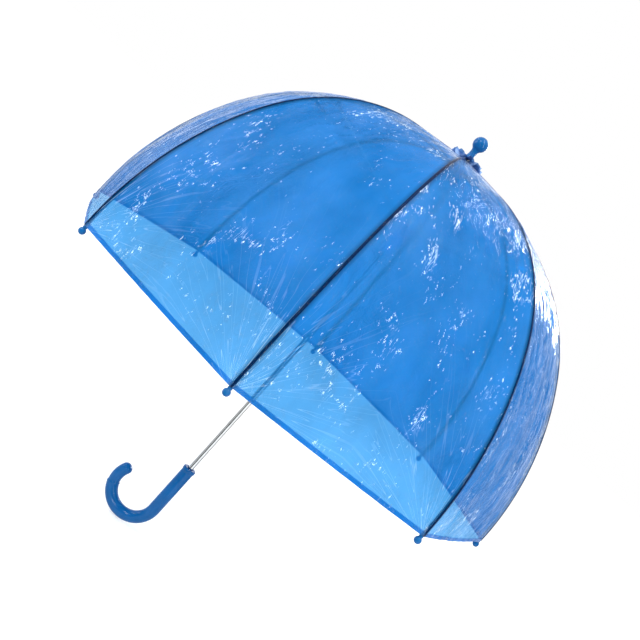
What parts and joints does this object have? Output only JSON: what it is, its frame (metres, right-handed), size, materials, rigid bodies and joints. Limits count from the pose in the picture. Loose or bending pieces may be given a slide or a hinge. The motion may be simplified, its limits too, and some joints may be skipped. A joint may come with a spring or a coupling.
{
  "type": "children's dome umbrella",
  "caption": "Deep dome umbrella with a see-through blue film canopy on wire ribs, a sliding runner, a steel shaft, ball tips and a hooked handle.",
  "frame": {"origin": "on the shaft's axis, at the middle of the handle's straight grip", "axes": "+Z along the shaft towards the finial; the handle's crook lies in the XZ plane and curls towards -X; rib 1 points along -Y"},
  "size_m": [0.6816, 0.6816, 0.6901],
  "materials": {
    "blue_film": "thin glossy clear blue vinyl film",
    "blue_plastic": "glossy moulded blue plastic",
    "chromed_steel": "bright plated steel tube",
    "rib_steel": "dark drawn steel wire",
    "spring_steel": "bright pressed spring steel",
    "runner_plastic": "smooth moulded blue plastic"
  },
  "bodies": {
    "root": {"shaft": "chromed_steel", "handle": "blue_plastic", "finial": "blue_plastic", "rosette": "blue_film", "canopy": "blue_film", "notch": "blue_plastic", "notch_ring": "rib_steel"},
    "runner_body": {"runner": "runner_plastic", "runner_ring": "rib_steel"},
    "top_catch_body": {"top_catch": "spring_steel"},
    "bottom_catch_body": {"bottom_catch": "spring_steel"},
    "rib_1": {"rib_upper_1": "rib_steel"},
    "rib_middle_1_body": {"rib_middle_1": "rib_steel"},
    "rib_lower_1_body": {"rib_lower_1": "rib_steel", "tip_1": "blue_plastic"},
    "stretcher_1_body": {"stretcher_1": "rib_steel"},
    "rib_2": {"rib_upper_2": "rib_steel"},
    "rib_middle_2_body": {"rib_middle_2": "rib_steel"},
    "rib_lower_2_body": {"rib_lower_2": "rib_steel", "tip_2": "blue_plastic"},
    "stretcher_2_body": {"stretcher_2": "rib_steel"},
    "rib_3": {"rib_upper_3": "rib_steel"},
    "rib_middle_3_body": {"rib_middle_3": "rib_steel"},
    "rib_lower_3_body": {"rib_lower_3": "rib_steel", "tip_3": "blue_plastic"},
    "stretcher_3_body": {"stretcher_3": "rib_steel"},
    "rib_4": {"rib_upper_4": "rib_steel"},
    "rib_middle_4_body": {"rib_middle_4": "rib_steel"},
    "rib_lower_4_body": {"rib_lower_4": "rib_steel", "tip_4": "blue_plastic"},
    "stretcher_4_body": {"stretcher_4": "rib_steel"},
    "rib_5": {"rib_upper_5": "rib_steel"},
    "rib_middle_5_body": {"rib_middle_5": "rib_steel"},
    "rib_lower_5_body": {"rib_lower_5": "rib_steel", "tip_5": "blue_plastic"},
    "stretcher_5_body": {"stretcher_5": "rib_steel"},
    "rib_6": {"rib_upper_6": "rib_steel"},
    "rib_middle_6_body": {"rib_middle_6": "rib_steel"},
    "rib_lower_6_body": {"rib_lower_6": "rib_steel", "tip_6": "blue_plastic"},
    "stretcher_6_body": {"stretcher_6": "rib_steel"},
    "rib_7": {"rib_upper_7": "rib_steel"},
    "rib_middle_7_body": {"rib_middle_7": "rib_steel"},
    "rib_lower_7_body": {"rib_lower_7": "rib_steel", "tip_7": "blue_plastic"},
    "stretcher_7_body": {"stretcher_7": "rib_steel"},
    "rib_8": {"rib_upper_8": "rib_steel"},
    "rib_middle_8_body": {"rib_middle_8": "rib_steel"},
    "rib_lower_8_body": {"rib_lower_8": "rib_steel", "tip_8": "blue_plastic"},
    "stretcher_8_body": {"stretcher_8": "rib_steel"}
  },
  "joints": [
    {"name": "runner_slide", "type": "slide", "parent": "root", "child": "runner_body", "axis": [0, 0, -1], "range_m": [0, 0.29717], "deforming": ["canopy"]},
    {"name": "top_catch_press", "type": "slide", "parent": "root", "child": "top_catch_body", "axis": [0, -1, 0], "range_m": [0, 0.0023], "stiffness_N_per_m": 1200},
    {"name": "bottom_catch_press", "type": "slide", "parent": "root", "child": "bottom_catch_body", "axis": [0, -1, 0], "range_m": [0, 0.0023], "stiffness_N_per_m": 1200},
    {"name": "rib_hinge_1", "type": "hinge", "parent": "root", "child": "rib_1", "pos_m": [0, -0.007, 0.557], "axis": [1, 0, 0], "range_deg": [0, 74.02]},
    {"name": "rib_flex_upper_1", "type": "hinge", "parent": "rib_1", "child": "rib_middle_1_body", "pos_m": [0, -0.20496, 0.50947], "axis": [1, 0, 0], "range_deg": [-30.17, 0]},
    {"name": "rib_flex_lower_1", "type": "hinge", "parent": "rib_middle_1_body", "child": "rib_lower_1_body", "pos_m": [0, -0.26991, 0.44186], "axis": [1, 0, 0], "range_deg": [-27.65, 0]},
    {"name": "stretcher_hinge_1", "type": "hinge", "parent": "rib_1", "child": "stretcher_1_body", "pos_m": [0, -0.19992, 0.50719], "axis": [1, 0, 0], "range_deg": [-149.97, 0]},
    {"name": "rib_hinge_2", "type": "hinge", "parent": "root", "child": "rib_2", "pos_m": [0.00495, -0.00495, 0.557], "axis": [0.7071, 0.7071, 0], "range_deg": [0, 74.02]},
    {"name": "rib_flex_upper_2", "type": "hinge", "parent": "rib_2", "child": "rib_middle_2_body", "pos_m": [0.14493, -0.14493, 0.50947], "axis": [0.7071, 0.7071, 0], "range_deg": [-30.17, 0]},
    {"name": "rib_flex_lower_2", "type": "hinge", "parent": "rib_middle_2_body", "child": "rib_lower_2_body", "pos_m": [0.19086, -0.19086, 0.44186], "axis": [0.7071, 0.7071, 0], "range_deg": [-27.65, 0]},
    {"name": "stretcher_hinge_2", "type": "hinge", "parent": "rib_2", "child": "stretcher_2_body", "pos_m": [0.14136, -0.14136, 0.50719], "axis": [0.7071, 0.7071, 0], "range_deg": [-149.97, 0]},
    {"name": "rib_hinge_3", "type": "hinge", "parent": "root", "child": "rib_3", "pos_m": [0.007, 0, 0.557], "axis": [0, 1, 0], "range_deg": [0, 74.02]},
    {"name": "rib_flex_upper_3", "type": "hinge", "parent": "rib_3", "child": "rib_middle_3_body", "pos_m": [0.20496, 0, 0.50947], "axis": [0, 1, 0], "range_deg": [-30.17, 0]},
    {"name": "rib_flex_lower_3", "type": "hinge", "parent": "rib_middle_3_body", "child": "rib_lower_3_body", "pos_m": [0.26991, 0, 0.44186], "axis": [0, 1, 0], "range_deg": [-27.65, 0]},
    {"name": "stretcher_hinge_3", "type": "hinge", "parent": "rib_3", "child": "stretcher_3_body", "pos_m": [0.19992, 0, 0.50719], "axis": [0, 1, 0], "range_deg": [-149.97, 0]},
    {"name": "rib_hinge_4", "type": "hinge", "parent": "root", "child": "rib_4", "pos_m": [0.00495, 0.00495, 0.557], "axis": [-0.7071, 0.7071, 0], "range_deg": [0, 74.02]},
    {"name": "rib_flex_upper_4", "type": "hinge", "parent": "rib_4", "child": "rib_middle_4_body", "pos_m": [0.14493, 0.14493, 0.50947], "axis": [-0.7071, 0.7071, 0], "range_deg": [-30.17, 0]},
    {"name": "rib_flex_lower_4", "type": "hinge", "parent": "rib_middle_4_body", "child": "rib_lower_4_body", "pos_m": [0.19086, 0.19086, 0.44186], "axis": [-0.7071, 0.7071, 0], "range_deg": [-27.65, 0]},
    {"name": "stretcher_hinge_4", "type": "hinge", "parent": "rib_4", "child": "stretcher_4_body", "pos_m": [0.14136, 0.14136, 0.50719], "axis": [-0.7071, 0.7071, 0], "range_deg": [-149.97, 0]},
    {"name": "rib_hinge_5", "type": "hinge", "parent": "root", "child": "rib_5", "pos_m": [0, 0.007, 0.557], "axis": [-1, 0, 0], "range_deg": [0, 74.02]},
    {"name": "rib_flex_upper_5", "type": "hinge", "parent": "rib_5", "child": "rib_middle_5_body", "pos_m": [0, 0.20496, 0.50947], "axis": [-1, 0, 0], "range_deg": [-30.17, 0]},
    {"name": "rib_flex_lower_5", "type": "hinge", "parent": "rib_middle_5_body", "child": "rib_lower_5_body", "pos_m": [0, 0.26991, 0.44186], "axis": [-1, 0, 0], "range_deg": [-27.65, 0]},
    {"name": "stretcher_hinge_5", "type": "hinge", "parent": "rib_5", "child": "stretcher_5_body", "pos_m": [0, 0.19992, 0.50719], "axis": [-1, 0, 0], "range_deg": [-149.97, 0]},
    {"name": "rib_hinge_6", "type": "hinge", "parent": "root", "child": "rib_6", "pos_m": [-0.00495, 0.00495, 0.557], "axis": [-0.7071, -0.7071, 0], "range_deg": [0, 74.02]},
    {"name": "rib_flex_upper_6", "type": "hinge", "parent": "rib_6", "child": "rib_middle_6_body", "pos_m": [-0.14493, 0.14493, 0.50947], "axis": [-0.7071, -0.7071, 0], "range_deg": [-30.17, 0]},
    {"name": "rib_flex_lower_6", "type": "hinge", "parent": "rib_middle_6_body", "child": "rib_lower_6_body", "pos_m": [-0.19086, 0.19086, 0.44186], "axis": [-0.7071, -0.7071, 0], "range_deg": [-27.65, 0]},
    {"name": "stretcher_hinge_6", "type": "hinge", "parent": "rib_6", "child": "stretcher_6_body", "pos_m": [-0.14136, 0.14136, 0.50719], "axis": [-0.7071, -0.7071, 0], "range_deg": [-149.97, 0]},
    {"name": "rib_hinge_7", "type": "hinge", "parent": "root", "child": "rib_7", "pos_m": [-0.007, 0, 0.557], "axis": [0, -1, 0], "range_deg": [0, 74.02]},
    {"name": "rib_flex_upper_7", "type": "hinge", "parent": "rib_7", "child": "rib_middle_7_body", "pos_m": [-0.20496, 0, 0.50947], "axis": [0, -1, 0], "range_deg": [-30.17, 0]},
    {"name": "rib_flex_lower_7", "type": "hinge", "parent": "rib_middle_7_body", "child": "rib_lower_7_body", "pos_m": [-0.26991, 0, 0.44186], "axis": [0, -1, 0], "range_deg": [-27.65, 0]},
    {"name": "stretcher_hinge_7", "type": "hinge", "parent": "rib_7", "child": "stretcher_7_body", "pos_m": [-0.19992, 0, 0.50719], "axis": [0, -1, 0], "range_deg": [-149.97, 0]},
    {"name": "rib_hinge_8", "type": "hinge", "parent": "root", "child": "rib_8", "pos_m": [-0.00495, -0.00495, 0.557], "axis": [0.7071, -0.7071, 0], "range_deg": [0, 74.02]},
    {"name": "rib_flex_upper_8", "type": "hinge", "parent": "rib_8", "child": "rib_middle_8_body", "pos_m": [-0.14493, -0.14493, 0.50947], "axis": [0.7071, -0.7071, 0], "range_deg": [-30.17, 0]},
    {"name": "rib_flex_lower_8", "type": "hinge", "parent": "rib_middle_8_body", "child": "rib_lower_8_body", "pos_m": [-0.19086, -0.19086, 0.44186], "axis": [0.7071, -0.7071, 0], "range_deg": [-27.65, 0]},
    {"name": "stretcher_hinge_8", "type": "hinge", "parent": "rib_8", "child": "stretcher_8_body", "pos_m": [-0.14136, -0.14136, 0.50719], "axis": [0.7071, -0.7071, 0], "range_deg": [-149.97, 0]}
  ],
  "couplings": [
    {"joint": "rib_hinge_1", "follows": "runner_slide", "rad_per_m": 4.3442},
    {"joint": "rib_flex_upper_1", "follows": "runner_slide", "rad_per_m": -1.7687},
    {"joint": "rib_flex_lower_1", "follows": "runner_slide", "rad_per_m": -1.621},
    {"joint": "stretcher_hinge_1", "follows": "runner_slide", "rad_per_m": -8.8053},
    {"joint": "rib_hinge_2", "follows": "runner_slide", "rad_per_m": 4.3442},
    {"joint": "rib_flex_upper_2", "follows": "runner_slide", "rad_per_m": -1.7687},
    {"joint": "rib_flex_lower_2", "follows": "runner_slide", "rad_per_m": -1.621},
    {"joint": "stretcher_hinge_2", "follows": "runner_slide", "rad_per_m": -8.8053},
    {"joint": "rib_hinge_3", "follows": "runner_slide", "rad_per_m": 4.3442},
    {"joint": "rib_flex_upper_3", "follows": "runner_slide", "rad_per_m": -1.7687},
    {"joint": "rib_flex_lower_3", "follows": "runner_slide", "rad_per_m": -1.621},
    {"joint": "stretcher_hinge_3", "follows": "runner_slide", "rad_per_m": -8.8053},
    {"joint": "rib_hinge_4", "follows": "runner_slide", "rad_per_m": 4.3442},
    {"joint": "rib_flex_upper_4", "follows": "runner_slide", "rad_per_m": -1.7687},
    {"joint": "rib_flex_lower_4", "follows": "runner_slide", "rad_per_m": -1.621},
    {"joint": "stretcher_hinge_4", "follows": "runner_slide", "rad_per_m": -8.8053},
    {"joint": "rib_hinge_5", "follows": "runner_slide", "rad_per_m": 4.3442},
    {"joint": "rib_flex_upper_5", "follows": "runner_slide", "rad_per_m": -1.7687},
    {"joint": "rib_flex_lower_5", "follows": "runner_slide", "rad_per_m": -1.621},
    {"joint": "stretcher_hinge_5", "follows": "runner_slide", "rad_per_m": -8.8053},
    {"joint": "rib_hinge_6", "follows": "runner_slide", "rad_per_m": 4.3442},
    {"joint": "rib_flex_upper_6", "follows": "runner_slide", "rad_per_m": -1.7687},
    {"joint": "rib_flex_lower_6", "follows": "runner_slide", "rad_per_m": -1.621},
    {"joint": "stretcher_hinge_6", "follows": "runner_slide", "rad_per_m": -8.8053},
    {"joint": "rib_hinge_7", "follows": "runner_slide", "rad_per_m": 4.3442},
    {"joint": "rib_flex_upper_7", "follows": "runner_slide", "rad_per_m": -1.7687},
    {"joint": "rib_flex_lower_7", "follows": "runner_slide", "rad_per_m": -1.621},
    {"joint": "stretcher_hinge_7", "follows": "runner_slide", "rad_per_m": -8.8053},
    {"joint": "rib_hinge_8", "follows": "runner_slide", "rad_per_m": 4.3442},
    {"joint": "rib_flex_upper_8", "follows": "runner_slide", "rad_per_m": -1.7687},
    {"joint": "rib_flex_lower_8", "follows": "runner_slide", "rad_per_m": -1.621},
    {"joint": "stretcher_hinge_8", "follows": "runner_slide", "rad_per_m": -8.8053}
  ]
}
